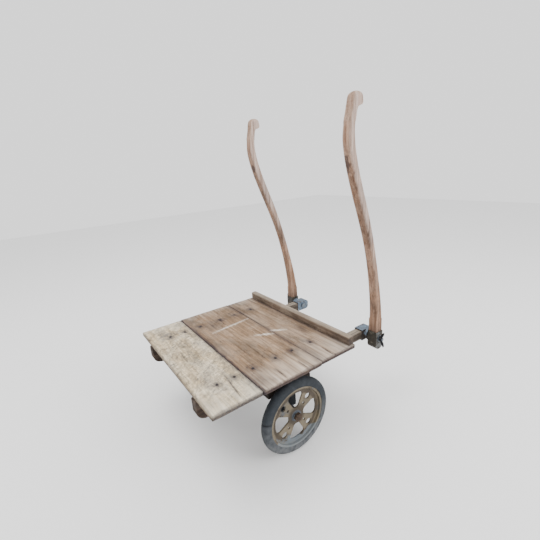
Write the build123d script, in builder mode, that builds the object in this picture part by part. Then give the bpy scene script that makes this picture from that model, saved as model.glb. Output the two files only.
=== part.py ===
# Platform hand truck with a boarded deck, two wheels and a pair of folding timber handles.
#
# Frame: +Z up, X along the axle, +Y from the nose of the deck back to the handles.
# The origin is on the floor, in the middle of the truck's length and width.
# All sizes are in millimetres.
import os

from build123d import *

# ---------------------------------------------------------------- driving dimensions

# wheels and axle
wheel_radius = 125.0
tyre_width = 28.0
tyre_crown_radius = 12.5
tyre_thickness = 30.0
rim_width = 24.0
rim_wall = 2.5
rim_flange_height = 4.0
wheel_inset = 34.0
wheel_disc_thickness = 5.0
wheel_disc_setback = 8.0
spoke_count = 4
window_rim_margin = 13.5
window_hub_margin = 11.0
window_outer_half_width = 32.0
window_inner_half_width = 9.0
window_corner_radius = 11.0
spoke_large_hole_radius = 9.5
spoke_large_hole_margin = 12.0
spoke_small_hole_radius = 4.5
spoke_small_hole_margin = 26.0
hub_boss_radius = 17.0
hub_inboard_reach = 26.0
bush_radius = 11.5
bush_stand_proud = 1.2
axle_radius = 8.0
axle_end_reach = 2.0
axle_end_chamfer = 1.5
washer_radius = 14.0
washer_thickness = 2.0
axle_nut_across_flats = 24.0
axle_nut_thickness = 9.0

# deck
deck_width = 582.0
middle_board_overhang = 3.0
board_thickness = 14.0
front_board_depth = 150.0
middle_board_depth = 211.5
rear_board_depth = 146.2
front_seam = 1.5
rear_seam = 0.8
board_edge_round = 2.0
cleat_end_gap = 5.0
cleat_depth = 24.0
cleat_height = 28.5
cleat_edge_round = 5.0

# fasteners in the deck; each nail's place is a share of the depth of its own board
front_nail_shares = (0.46, 0.83)
middle_nail_shares = (0.17, 0.56, 0.87)
rear_nail_shares = (0.34,)
nail_head_radius = 4.0
nail_head_thickness = 1.6
nail_shank_radius = 1.8
nail_length = 42.0
cleat_screw_count = 4
cleat_screw_head_radius = 4.2
cleat_screw_shank_radius = 2.1
cleat_screw_length = 34.0

# rails, bolster and axle hangers
rail_inset = 108.0
rail_width = 32.0
rail_height = 60.0
rail_nose_overhang = 4.0
rail_nose_radius = 26.0
rail_shoulder_radius = 20.0
arm_height = 31.0
bolster_wheel_gap = 17.0
bolster_depth = 168.0
bolster_thickness = 24.0
bolster_setback = 11.0
bolster_edge_round = 2.0
hanger_drop = 70.5
hanger_plate = 5.0
hanger_depth = 78.0
hanger_web_gap = 9.0
hanger_flange_width = 46.0
hanger_lobe_radius = 20.0
hanger_web_below_axle = 7.0
coach_screw_radius = 4.0
coach_screw_length = 68.0
coach_screw_spacing = 50.0
coach_screw_across_flats = 13.0
coach_screw_head = 5.5
axle_setback = 279.0

# handle pivots
pivot_setback = 172.0
cap_wall = 2.0
cap_front_reach = 28.0
cap_rear_reach = 32.0
cap_height = 41.0
cap_corner_radius = 15.0
pivot_bolt_radius = 5.0
pivot_bolt_head_across_flats = 18.0
pivot_bolt_head_thickness = 6.0
pivot_bolt_end_reach = 13.0
pivot_bolt_end_chamfer = 1.0
hinge_boss_radius = 20.5
hinge_boss_thickness = 11.5
friction_disc_radius = 19.0
friction_disc_thickness = 4.5
pivot_washer_radius = 12.0
wing_nut_base_radius = 9.0
wing_nut_top_radius = 6.5
wing_nut_height = 11.0
wing_span = 57.0
wing_reach = 17.0
wing_thickness = 4.6
wing_root_low = 3.3
wing_root_high = 10.45

# handles
foot_width = 34.0
foot_depth = 32.0
foot_drop = 40.0
foot_bottom_radius = 14.0
foot_rise = 75.0
handle_rise = 801.0
handle_splay = 18.0
handle_top_width = 31.5
handle_chamfer = 4.0
handle_crown_radius = 13.0
shoe_wall = 2.0
shoe_rise = 27.0

# clearances
fixed_clearance = 0.15
running_clearance = 0.05
face_clearance = 0.2
side_play = 0.4

# ---------------------------------------------------------------- worked-out places

tyre_seat_radius = wheel_radius - tyre_thickness
rim_inner_radius = tyre_seat_radius - rim_wall
flange_radius = tyre_seat_radius + rim_flange_height
window_outer_radius = rim_inner_radius - window_rim_margin
window_inner_radius = hub_boss_radius + window_hub_margin
spoke_large_hole_pcr = window_outer_radius - spoke_large_hole_margin
spoke_small_hole_pcr = hub_boss_radius + spoke_small_hole_margin

deck_depth = front_board_depth + front_seam + middle_board_depth + rear_seam + rear_board_depth
overall_length = rail_nose_overhang + deck_depth + pivot_setback + cap_rear_reach
nose_y = -overall_length / 2
deck_front_y = nose_y + rail_nose_overhang
middle_board_y = deck_front_y + front_board_depth + front_seam
rear_board_y = middle_board_y + middle_board_depth + rear_seam
deck_rear_y = rear_board_y + rear_board_depth
axle_y = deck_front_y + axle_setback
pivot_y = deck_rear_y + pivot_setback

axle_z = wheel_radius
bolster_bottom_z = axle_z + hanger_drop
rail_bottom_z = bolster_bottom_z + bolster_thickness
rail_top_z = rail_bottom_z + rail_height
deck_top_z = rail_top_z + board_thickness
pivot_z = rail_bottom_z + arm_height / 2
arm_top_z = rail_bottom_z + arm_height

wheel_centre_x = deck_width / 2 - wheel_inset
rail_centre_x = deck_width / 2 - rail_inset
rail_inner_x = rail_centre_x - rail_width / 2
rail_outer_x = rail_centre_x + rail_width / 2
hanger_web_x = rail_outer_x + hanger_web_gap
cap_inner_x = rail_inner_x - cap_wall
cap_outer_x = rail_outer_x + cap_wall
friction_disc_x = cap_outer_x + hinge_boss_thickness + face_clearance
shoe_inner_x = friction_disc_x + friction_disc_thickness
foot_inner_x = shoe_inner_x + shoe_wall
foot_outer_x = foot_inner_x + foot_width
shoe_outer_x = foot_outer_x + shoe_wall
pivot_washer_x = shoe_outer_x + face_clearance
wing_nut_x = pivot_washer_x + washer_thickness + face_clearance
pivot_bolt_end_x = wing_nut_x + pivot_bolt_end_reach

disc_outer_x = wheel_centre_x + rim_width / 2 - wheel_disc_setback
disc_inner_x = disc_outer_x - wheel_disc_thickness
hub_outer_x = disc_outer_x + bush_stand_proud
hub_inner_x = disc_inner_x - hub_inboard_reach
bush_outer_x = hub_outer_x + bush_stand_proud
bush_inner_x = hub_inner_x - bush_stand_proud
axle_washer_x = bush_outer_x + side_play
axle_nut_x = axle_washer_x + washer_thickness
axle_nut_end_x = axle_nut_x + axle_nut_thickness
axle_end_x = axle_nut_end_x + axle_end_reach

# planes across the truck, centred on the axle and on the handle pivots
axle_plane = Plane((0, axle_y, axle_z), x_dir=(0, 1, 0), z_dir=(1, 0, 0))
pivot_plane = Plane((0, pivot_y, pivot_z), x_dir=(0, 1, 0), z_dir=(1, 0, 0))
# plane along the truck's width through the pivots, seen from the front
pivot_front_plane = Plane((0, pivot_y, pivot_z), x_dir=(1, 0, 0), z_dir=(0, -1, 0))

# nails stand in one row over each rail
boards_from_front = (
    (deck_front_y, front_board_depth, front_nail_shares),
    (middle_board_y, middle_board_depth, middle_nail_shares),
    (rear_board_y, rear_board_depth, rear_nail_shares),
)
nail_rows_y = [start + share * depth for start, depth, shares in boards_from_front for share in shares]
nail_spots = [(side * rail_centre_x, y) for side in (-1, 1) for y in nail_rows_y]

# cleat screws are spread along the cleat and come up from below, clear of the rails
cleat_y = deck_rear_y - cleat_depth / 2
cleat_width = deck_width - 2 * cleat_end_gap
cleat_screw_spacing = (cleat_width - 4 * cleat_depth) / (cleat_screw_count - 1)

# coach screws hold each hanger and the bolster up to its rail, one ahead of the axle, one behind
coach_screw_spots = [
    (side * rail_centre_x, axle_y + step * coach_screw_spacing / 2) for side in (-1, 1) for step in (-1, 1)
]

os.makedirs("parts", exist_ok=True)


def save(piece, node):
    """Label one finished piece and write it as its own node."""
    piece.part.label = node
    export_step(piece.part, f"parts/{node}.step")


def save_pair(right_piece, node):
    """Write a right-hand piece and its mirror image on the left."""
    save(right_piece, f"{node}_right")
    with BuildPart() as left_piece:
        mirror(right_piece.part, about=Plane.YZ)
    save(left_piece, f"{node}_left")


# ---------------------------------------------------------------- deck boards


def deck_board(width, depth, front_y):
    """One board lying across both rails, with nail holes where nails stand in it."""
    spots = [spot for spot in nail_spots if front_y < spot[1] < front_y + depth]
    centre_y = front_y + depth / 2
    with BuildPart() as board:
        with BuildSketch(Plane.XY.offset(rail_top_z)):
            with Locations((0, centre_y)):
                Rectangle(width, depth)
        extrude(amount=board_thickness)
        fillet(board.edges().filter_by(Axis.Z), radius=board_edge_round)
        fillet(board.faces().sort_by(Axis.Z)[-1].edges(), radius=board_edge_round / 2)
        with Locations([(x, y, deck_top_z) for x, y in spots]):
            CounterBoreHole(
                radius=nail_shank_radius + fixed_clearance,
                counter_bore_radius=nail_head_radius + fixed_clearance,
                counter_bore_depth=nail_head_thickness,
            )
    return board


board_front = deck_board(deck_width, front_board_depth, deck_front_y)
save(board_front, "board_front")

board_middle = deck_board(deck_width + 2 * middle_board_overhang, middle_board_depth, middle_board_y)
save(board_middle, "board_middle")

board_rear = deck_board(deck_width, rear_board_depth, rear_board_y)
with BuildPart() as board_rear_drilled:
    add(board_rear.part)
    with Locations(Location((0, cleat_y, rail_top_z), (180, 0, 0))):
        with GridLocations(cleat_screw_spacing, 1, cleat_screw_count, 1):
            CounterSinkHole(
                radius=cleat_screw_shank_radius + fixed_clearance,
                counter_sink_radius=cleat_screw_head_radius + fixed_clearance,
                depth=board_thickness,
            )
save(board_rear_drilled, "board_rear")

# the stop along the back edge, rounded along its top
with BuildPart() as cleat:
    with BuildSketch(Plane.XY.offset(deck_top_z)):
        with Locations((0, cleat_y)):
            Rectangle(cleat_width, cleat_depth)
    extrude(amount=cleat_height)
    fillet(cleat.faces().sort_by(Axis.Z)[-1].edges().filter_by(Axis.X), radius=cleat_edge_round)
    fillet(cleat.edges().filter_by(Axis.Z), radius=board_edge_round)
    with Locations(Location((0, cleat_y, deck_top_z), (180, 0, 0))):
        with GridLocations(cleat_screw_spacing, 1, cleat_screw_count, 1):
            Hole(
                radius=cleat_screw_shank_radius + fixed_clearance,
                depth=cleat_screw_length - board_thickness + face_clearance,
            )
save(cleat, "cleat")

# ---------------------------------------------------------------- deck fasteners

# clout nails, heads flush with the boards
with BuildPart() as deck_nails:
    with Locations([(x, y, deck_top_z) for x, y in nail_spots]):
        Cylinder(
            nail_head_radius,
            nail_head_thickness,
            align=(Align.CENTER, Align.CENTER, Align.MAX),
        )
        Cylinder(
            nail_shank_radius,
            nail_length,
            align=(Align.CENTER, Align.CENTER, Align.MAX),
        )
save(deck_nails, "deck_nails")

# countersunk screws driven up through the back board into the cleat
with BuildPart() as cleat_screws:
    with Locations((0, cleat_y, rail_top_z)):
        with GridLocations(cleat_screw_spacing, 1, cleat_screw_count, 1):
            Cone(
                cleat_screw_head_radius,
                cleat_screw_shank_radius,
                cleat_screw_head_radius - cleat_screw_shank_radius,
                align=(Align.CENTER, Align.CENTER, Align.MIN),
            )
            Cylinder(
                cleat_screw_shank_radius,
                cleat_screw_length,
                align=(Align.CENTER, Align.CENTER, Align.MIN),
            )
save(cleat_screws, "cleat_screws")

# ---------------------------------------------------------------- rails

# a rail is full height under the deck, round at the bottom of its nose, and cut down behind
# the deck to a lower arm that carries the handle pivot
arm_end_y = pivot_y + cap_rear_reach - cap_wall - face_clearance
arm_end_radius = cap_corner_radius - cap_wall
with BuildPart() as rail:
    with BuildSketch(Plane.YZ.offset(rail_inner_x)) as rail_side:
        with BuildLine():
            Polyline(
                (nose_y, rail_top_z),
                (nose_y, rail_bottom_z),
                (arm_end_y, rail_bottom_z),
                (arm_end_y, arm_top_z),
                (deck_rear_y + rail_shoulder_radius, arm_top_z),
            )
            RadiusArc(
                (deck_rear_y + rail_shoulder_radius, arm_top_z),
                (deck_rear_y, arm_top_z + rail_shoulder_radius),
                rail_shoulder_radius,
            )
            Polyline(
                (deck_rear_y, arm_top_z + rail_shoulder_radius),
                (deck_rear_y, rail_top_z),
                (nose_y, rail_top_z),
            )
        make_face()
        fillet(rail_side.vertices().group_by(Axis.X)[0].sort_by(Axis.Y)[0], radius=rail_nose_radius)
        fillet(rail_side.vertices().group_by(Axis.X)[-1], radius=arm_end_radius)
    extrude(amount=rail_width)
    with Locations([(x, y, rail_top_z) for x, y in nail_spots if x > 0]):
        Hole(
            radius=nail_shank_radius + fixed_clearance,
            depth=nail_length - board_thickness + face_clearance,
        )
    with Locations([Location((x, y, rail_bottom_z), (180, 0, 0)) for x, y in coach_screw_spots if x > 0]):
        Hole(
            radius=coach_screw_radius + fixed_clearance,
            depth=coach_screw_length - bolster_thickness - hanger_plate + face_clearance,
        )
    with BuildSketch(pivot_plane.offset(rail_inner_x)):
        Circle(pivot_bolt_radius + running_clearance)
    extrude(amount=rail_width, mode=Mode.SUBTRACT)
save_pair(rail, "rail")

# ---------------------------------------------------------------- bolster, hangers and axle

bolster_y = axle_y + bolster_setback
bolster_length = 2 * (wheel_centre_x - tyre_width / 2 - bolster_wheel_gap)
with BuildPart() as bolster:
    with BuildSketch(Plane.XY.offset(bolster_bottom_z)):
        with Locations((0, bolster_y)):
            Rectangle(bolster_length, bolster_depth)
    extrude(amount=bolster_thickness)
    fillet(bolster.edges().filter_by(Axis.X), radius=bolster_edge_round)
    with Locations([(x, y, rail_bottom_z) for x, y in coach_screw_spots]):
        Hole(radius=coach_screw_radius + fixed_clearance)
save(bolster, "bolster")

# an angle of steel plate under each end of the bolster, its web pierced for the axle
hanger_flange_bottom_z = bolster_bottom_z - hanger_plate
with BuildPart() as hanger:
    with BuildSketch(axle_plane.offset(hanger_web_x)):
        with Locations((0, (hanger_drop - hanger_web_below_axle) / 2)):
            Rectangle(hanger_depth, hanger_drop + hanger_web_below_axle)
        Circle(hanger_lobe_radius)
    extrude(amount=hanger_plate)
    with BuildSketch(Plane.XY.offset(hanger_flange_bottom_z)):
        with Locations((hanger_web_x + hanger_plate, axle_y)):
            Rectangle(hanger_flange_width, hanger_depth, align=(Align.MAX, Align.CENTER))
    extrude(amount=hanger_plate)
    with BuildSketch(axle_plane.offset(hanger_web_x)):
        Circle(axle_radius + fixed_clearance)
    extrude(amount=hanger_plate, mode=Mode.SUBTRACT)
    with Locations([(x, y, bolster_bottom_z) for x, y in coach_screw_spots if x > 0]):
        Hole(radius=coach_screw_radius + fixed_clearance, depth=2 * hanger_plate)
save_pair(hanger, "hanger")

# hexagon-headed coach screws, driven upwards
with BuildPart() as hanger_screws:
    with BuildSketch(Plane.XY.offset(hanger_flange_bottom_z)):
        with Locations(coach_screw_spots):
            RegularPolygon(coach_screw_across_flats / 2, 6, major_radius=False)
    extrude(amount=-coach_screw_head)
    with BuildSketch(Plane.XY.offset(hanger_flange_bottom_z)):
        with Locations(coach_screw_spots):
            Circle(coach_screw_radius)
    extrude(amount=coach_screw_length)
save(hanger_screws, "hanger_screws")

# one solid bar through both hangers and both wheels, threaded at its ends
with BuildPart() as axle:
    with BuildSketch(axle_plane.offset(-axle_end_x)):
        Circle(axle_radius)
    extrude(amount=2 * axle_end_x)
    chamfer(axle.edges().filter_by(GeomType.CIRCLE), length=axle_end_chamfer)
save(axle, "axle")


def axle_ring(start_x, length, radius, bore_radius):
    """A plain ring on the axle, from start_x outwards."""
    with BuildPart() as ring:
        with BuildSketch(axle_plane.offset(start_x)):
            Circle(radius)
            Circle(bore_radius, mode=Mode.SUBTRACT)
        extrude(amount=length)
    return ring


spacer_x = hanger_web_x + hanger_plate
axle_spacer = axle_ring(
    spacer_x, bush_inner_x - side_play - spacer_x, bush_radius, axle_radius + fixed_clearance
)
save_pair(axle_spacer, "axle_spacer")

axle_washer = axle_ring(axle_washer_x, washer_thickness, washer_radius, axle_radius + fixed_clearance)
save_pair(axle_washer, "axle_washer")

with BuildPart() as axle_nut:
    with BuildSketch(axle_plane.offset(axle_nut_x)):
        RegularPolygon(axle_nut_across_flats / 2, 6, major_radius=False)
        Circle(axle_radius + fixed_clearance, mode=Mode.SUBTRACT)
    extrude(amount=axle_nut_thickness)
save_pair(axle_nut, "axle_nut")

# ---------------------------------------------------------------- wheels

# metal wheel: a flanged rim, a disc cut by four windows into four spokes, and a hub boss
rim_inboard_x = wheel_centre_x - rim_width / 2
window_shoulder_reach = (window_outer_radius**2 - window_outer_half_width**2) ** 0.5
with BuildPart() as wheel:
    with BuildSketch(axle_plane.offset(rim_inboard_x)):
        Circle(tyre_seat_radius)
        Circle(rim_inner_radius, mode=Mode.SUBTRACT)
    extrude(amount=rim_width)
    for flange_x in (rim_inboard_x, rim_inboard_x + rim_width - rim_wall):
        with BuildSketch(axle_plane.offset(flange_x)):
            Circle(flange_radius)
            Circle(rim_inner_radius, mode=Mode.SUBTRACT)
        extrude(amount=rim_wall)
    with BuildSketch(axle_plane.offset(disc_inner_x)):
        Circle(tyre_seat_radius)
        with PolarLocations(0, spoke_count):
            with BuildSketch(mode=Mode.PRIVATE) as window:
                with BuildLine():
                    Polyline(
                        (window_shoulder_reach, -window_outer_half_width),
                        (window_inner_radius, -window_inner_half_width),
                        (window_inner_radius, window_inner_half_width),
                        (window_shoulder_reach, window_outer_half_width),
                    )
                    ThreePointArc(
                        (window_shoulder_reach, window_outer_half_width),
                        (window_outer_radius, 0),
                        (window_shoulder_reach, -window_outer_half_width),
                    )
                make_face()
                fillet(window.vertices(), radius=window_corner_radius)
            add(window.sketch, mode=Mode.SUBTRACT)
        with PolarLocations(spoke_large_hole_pcr, spoke_count, start_angle=45):
            Circle(spoke_large_hole_radius, mode=Mode.SUBTRACT)
        with PolarLocations(spoke_small_hole_pcr, spoke_count, start_angle=45):
            Circle(spoke_small_hole_radius, mode=Mode.SUBTRACT)
    extrude(amount=wheel_disc_thickness)
    with BuildSketch(axle_plane.offset(hub_inner_x)):
        Circle(hub_boss_radius)
    extrude(amount=hub_outer_x - hub_inner_x)
    with BuildSketch(axle_plane.offset(hub_inner_x)):
        Circle(bush_radius + fixed_clearance)
    extrude(amount=hub_outer_x - hub_inner_x, mode=Mode.SUBTRACT)
save_pair(wheel, "wheel")

bush = axle_ring(bush_inner_x, bush_outer_x - bush_inner_x, bush_radius, axle_radius + running_clearance)
save_pair(bush, "wheel_bush")

# solid rubber tyre: a square foot between the rim flanges under a round-shouldered crown
tyre_base_half = rim_width / 2 - rim_wall - fixed_clearance
tyre_shoulder_radius = wheel_radius - tyre_crown_radius
tyre_half = tyre_width / 2
with BuildPart() as tyre:
    with BuildSketch(Plane((wheel_centre_x, axle_y, axle_z))) as tyre_section:
        with BuildLine():
            Polyline(
                (-tyre_half, tyre_shoulder_radius),
                (-tyre_half, flange_radius + fixed_clearance),
                (-tyre_base_half, flange_radius + fixed_clearance),
                (-tyre_base_half, tyre_seat_radius + fixed_clearance),
                (tyre_base_half, tyre_seat_radius + fixed_clearance),
                (tyre_base_half, flange_radius + fixed_clearance),
                (tyre_half, flange_radius + fixed_clearance),
                (tyre_half, tyre_shoulder_radius),
            )
            ThreePointArc(
                (tyre_half, tyre_shoulder_radius),
                (0, wheel_radius),
                (-tyre_half, tyre_shoulder_radius),
            )
        make_face()
    revolve(axis=Axis((0, axle_y, axle_z), (1, 0, 0)))
save_pair(tyre, "tyre")

# ---------------------------------------------------------------- rail caps

# a steel cap over the rounded end of each arm, open at the front where the timber goes in
cap_front_y = pivot_y - cap_front_reach
cap_length = cap_front_reach + cap_rear_reach
cap_centre_v = (cap_rear_reach - cap_front_reach) / 2
with BuildPart() as rail_cap:
    with BuildSketch(pivot_plane.offset(cap_inner_x)) as cap_side:
        with Locations((cap_centre_v, 0)):
            Rectangle(cap_length, cap_height)
        fillet(cap_side.vertices().group_by(Axis.X)[-1], radius=cap_corner_radius)
    extrude(amount=rail_width + 2 * cap_wall)
    with BuildSketch(pivot_plane.offset(rail_inner_x)) as cap_hollow:
        with Locations((-cap_front_reach, 0)):
            Rectangle(cap_length - cap_wall, arm_height, align=(Align.MIN, Align.CENTER))
        fillet(cap_hollow.vertices().group_by(Axis.X)[-1], radius=arm_end_radius)
    extrude(amount=rail_width, mode=Mode.SUBTRACT)
    with BuildSketch(pivot_plane.offset(cap_inner_x)):
        Circle(pivot_bolt_radius + running_clearance)
    extrude(amount=rail_width + 2 * cap_wall, mode=Mode.SUBTRACT)
save_pair(rail_cap, "rail_cap")

# ---------------------------------------------------------------- hinge bosses and pivot bolts


def pivot_disc(start_x, thickness, radius, bore_radius):
    """A round piece on the handle pivot, from start_x outwards."""
    with BuildPart() as disc:
        with BuildSketch(pivot_plane.offset(start_x)):
            Circle(radius)
            Circle(bore_radius, mode=Mode.SUBTRACT)
        extrude(amount=thickness)
    return disc


# the boss stands on the cap, and the disc behind the shoe is squeezed against it
hinge_boss = pivot_disc(
    cap_outer_x, hinge_boss_thickness, hinge_boss_radius, pivot_bolt_radius + running_clearance
)
save_pair(hinge_boss, "hinge_boss")

friction_disc = pivot_disc(
    friction_disc_x, friction_disc_thickness, friction_disc_radius, pivot_bolt_radius + running_clearance
)
save_pair(friction_disc, "friction_disc")

with BuildPart() as pivot_bolt:
    with BuildSketch(pivot_plane.offset(cap_inner_x)):
        Circle(pivot_bolt_radius)
    extrude(amount=pivot_bolt_end_x - cap_inner_x)
    chamfer(pivot_bolt.edges().filter_by(GeomType.CIRCLE).sort_by(Axis.X)[-1], length=pivot_bolt_end_chamfer)
    with BuildSketch(pivot_plane.offset(cap_inner_x)):
        RegularPolygon(pivot_bolt_head_across_flats / 2, 6, major_radius=False)
    extrude(amount=-pivot_bolt_head_thickness)
save_pair(pivot_bolt, "pivot_bolt")

pivot_washer = pivot_disc(
    pivot_washer_x, washer_thickness, pivot_washer_radius, pivot_bolt_radius + fixed_clearance
)
save_pair(pivot_washer, "pivot_washer")

# wing nut: a coned hub with two flared wings, standing upright
wing_tip_half = wing_span / 2
with BuildPart() as wing_nut:
    with BuildSketch(Plane((wing_nut_x, pivot_y, pivot_z))):
        with BuildLine():
            Polyline(
                (0, 0),
                (0, wing_nut_base_radius),
                (wing_nut_height, wing_nut_top_radius),
                (wing_nut_height, 0),
                close=True,
            )
        make_face()
    revolve(axis=Axis((0, pivot_y, pivot_z), (1, 0, 0)))
    with BuildSketch(Plane((wing_nut_x, pivot_y, pivot_z), x_dir=(1, 0, 0), z_dir=(0, -1, 0))) as wings:
        with BuildLine():
            Spline(
                (wing_root_low, 0),
                (wing_root_low, wing_nut_base_radius * 0.8),
                (wing_reach * 0.7, wing_tip_half * 0.86),
                (wing_reach * 0.93, wing_tip_half),
                (wing_reach, wing_tip_half * 0.8),
                (wing_root_high, wing_nut_top_radius * 0.9),
                (wing_root_high, 0),
            )
            Line((wing_root_high, 0), (wing_root_low, 0))
        make_face()
        mirror(about=Plane.XZ)
    extrude(amount=wing_thickness / 2, both=True)
    with BuildSketch(pivot_plane.offset(wing_nut_x)):
        Circle(pivot_bolt_radius + running_clearance)
    extrude(amount=2 * wing_reach, mode=Mode.SUBTRACT)
save_pair(wing_nut, "wing_nut")

# ---------------------------------------------------------------- handles

# outline of a handle seen from the side, measured from the pivot: it leaves the square foot,
# leans towards the deck and straightens at the neck; above the neck is the grip's head,
# which ends in a short hook turned backwards
foot_half = foot_depth / 2
neck_rise = 0.9 * handle_rise
front_foot = (-foot_half, foot_rise)
front_belly = [(-23, 0.205 * handle_rise), (-66, 0.453 * handle_rise), (-142, 0.703 * handle_rise)]
front_grip = (-172, 0.85 * handle_rise)
front_neck = (-170, neck_rise)
rear_neck = (-147, neck_rise)
rear_grip = (-148, 0.86 * handle_rise)
rear_belly = [
    (-138, 0.79 * handle_rise),
    (-77, 0.578 * handle_rise),
    (-19, 0.328 * handle_rise),
    (12, 0.135 * handle_rise),
]
rear_foot = (foot_half, foot_rise)
neck_lean = (0.12, 1)
crown = (-137, handle_rise)
hook_back = (-119, 0.978 * handle_rise)
hook_tip = (-123, 0.955 * handle_rise)
hook_notch = (-138, 0.95 * handle_rise)

handle_side_plane = pivot_plane.offset(foot_inner_x - handle_splay)
handle_blank_width = foot_width + 3 * handle_splay


def sawn_front_view(start_rise, end_rise):
    """Front view of a handle between two heights, tapering and splaying outwards."""
    corners = []
    for edge, rise in ((-1, start_rise), (-1, end_rise), (1, end_rise), (1, start_rise)):
        share = (rise - foot_rise) / (handle_rise - foot_rise)
        centre_x = (foot_inner_x + foot_outer_x) / 2 + share * handle_splay
        width = foot_width + share * (handle_top_width - foot_width)
        corners.append((centre_x + edge * width / 2, rise))
    return corners


with BuildPart() as handle_head:
    with BuildSketch(handle_side_plane):
        with BuildLine():
            Spline(front_neck, (-160, 0.955 * handle_rise), crown, tangents=(neck_lean, (1, 0)))
            Spline(crown, hook_back, hook_tip, tangents=((1, 0), (-1, -0.4)))
            Line(hook_tip, hook_notch)
            Spline(hook_notch, rear_neck, tangents=((-0.5, -1), (-neck_lean[0], -neck_lean[1])))
            Line(rear_neck, front_neck)
        make_face()
    extrude(amount=handle_blank_width)
    with BuildSketch(pivot_front_plane) as head_front:
        Polygon(*sawn_front_view(neck_rise, handle_rise), align=None)
        fillet(head_front.vertices().group_by(Axis.Y)[-1], radius=handle_crown_radius)
    extrude(amount=handle_rise, both=True, mode=Mode.INTERSECT)

with BuildPart() as handle:
    with BuildSketch(handle_side_plane):
        with BuildLine():
            Spline(front_foot, *front_belly, front_grip, front_neck, tangents=((0, 1), neck_lean))
            Line(front_neck, rear_neck)
            Spline(rear_neck, rear_grip, *rear_belly, rear_foot)
            Line(rear_foot, front_foot)
        make_face()
    extrude(amount=handle_blank_width)
    with BuildSketch(pivot_front_plane):
        Polygon(*sawn_front_view(foot_rise, neck_rise), align=None)
    extrude(amount=handle_rise, both=True, mode=Mode.INTERSECT)
    # stopped chamfers run between the foot and the neck
    long_edges = handle.edges().filter_by(lambda edge: edge.length > handle_rise / 2)
    chamfer(long_edges, length=handle_chamfer)
    add(handle_head.part)
    # square foot with a rounded bottom
    with BuildSketch(pivot_plane.offset(foot_inner_x)) as foot_side:
        with Locations((0, foot_rise)):
            Rectangle(foot_depth, foot_rise + foot_drop, align=(Align.CENTER, Align.MAX))
        fillet(foot_side.vertices().group_by(Axis.Y)[0], radius=foot_bottom_radius)
    extrude(amount=foot_width)
    with BuildSketch(pivot_plane.offset(foot_inner_x)):
        Circle(pivot_bolt_radius + running_clearance)
    extrude(amount=foot_width, mode=Mode.SUBTRACT)
save_pair(handle, "handle")

# pressed steel shoe wrapped round the foot, closed underneath
with BuildPart() as shoe:
    with BuildSketch(pivot_plane.offset(shoe_inner_x)) as shoe_side:
        with Locations((0, shoe_rise)):
            Rectangle(
                foot_depth + 2 * shoe_wall,
                shoe_rise + foot_drop + shoe_wall,
                align=(Align.CENTER, Align.MAX),
            )
        fillet(shoe_side.vertices().group_by(Axis.Y)[0], radius=foot_bottom_radius + shoe_wall)
    extrude(amount=foot_width + 2 * shoe_wall)
    with BuildSketch(pivot_plane.offset(foot_inner_x)) as shoe_hollow:
        with Locations((0, shoe_rise)):
            Rectangle(foot_depth, shoe_rise + foot_drop, align=(Align.CENTER, Align.MAX))
        fillet(shoe_hollow.vertices().group_by(Axis.Y)[0], radius=foot_bottom_radius)
    extrude(amount=foot_width, mode=Mode.SUBTRACT)
    with BuildSketch(pivot_plane.offset(shoe_inner_x)):
        Circle(pivot_bolt_radius + running_clearance)
    extrude(amount=foot_width + 2 * shoe_wall, mode=Mode.SUBTRACT)
save_pair(shoe, "shoe")
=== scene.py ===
# %% [markdown]
# # An old timber platform truck
# The solid parts of this hand truck were already built to size in a CAD program.  Here
# Blender gives them the look of an old working truck: weathered boards, a worn painted
# wheel, grey rubber and rusty iron.  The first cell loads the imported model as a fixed
# frame, and every piece made later takes its place from that frame.

# %% Load the frame
import math

import bpy
import numpy as np
from mathutils import Matrix, Vector, noise


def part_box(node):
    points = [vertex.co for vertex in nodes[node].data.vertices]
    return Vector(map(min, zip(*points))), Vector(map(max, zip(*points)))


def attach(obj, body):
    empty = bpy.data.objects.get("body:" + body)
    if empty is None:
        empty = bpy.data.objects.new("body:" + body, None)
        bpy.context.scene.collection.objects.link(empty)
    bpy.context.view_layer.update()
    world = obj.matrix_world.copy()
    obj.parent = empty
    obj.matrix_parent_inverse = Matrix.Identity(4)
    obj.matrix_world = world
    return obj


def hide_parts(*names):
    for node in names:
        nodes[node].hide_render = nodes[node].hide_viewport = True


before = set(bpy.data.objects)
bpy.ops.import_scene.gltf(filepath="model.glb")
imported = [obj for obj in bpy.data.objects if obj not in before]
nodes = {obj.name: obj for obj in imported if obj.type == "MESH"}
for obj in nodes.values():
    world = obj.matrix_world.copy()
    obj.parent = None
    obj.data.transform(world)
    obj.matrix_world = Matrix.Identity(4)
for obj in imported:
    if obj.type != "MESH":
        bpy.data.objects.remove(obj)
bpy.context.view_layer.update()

# %% [markdown]
# ## Small helpers for finishes
# A finish in Blender is a little network of nodes.  Writing the same few lines for each
# one would hide what matters, so one helper adds a node with its settings, one starts an
# empty finish, and one tells where we are on the piece, in metres.

# %% A node, a finish and a place


def add(tree, kind, inputs=None, **settings):
    """Add one node, set its options, and fill or wire its inputs."""
    made = tree.nodes.new(kind)
    for name, value in settings.items():
        setattr(made, name, value)
    for key, value in (inputs or {}).items():
        if isinstance(value, bpy.types.NodeSocket):
            tree.links.new(value, made.inputs[key])
        else:
            made.inputs[key].default_value = value
    return made


def start_finish(name):
    """A new empty finish: its material, its node tree and its main shader."""
    finish = bpy.data.materials.new(name)
    finish.use_nodes = True
    tree = finish.node_tree
    return finish, tree, tree.nodes["Principled BSDF"]


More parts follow.
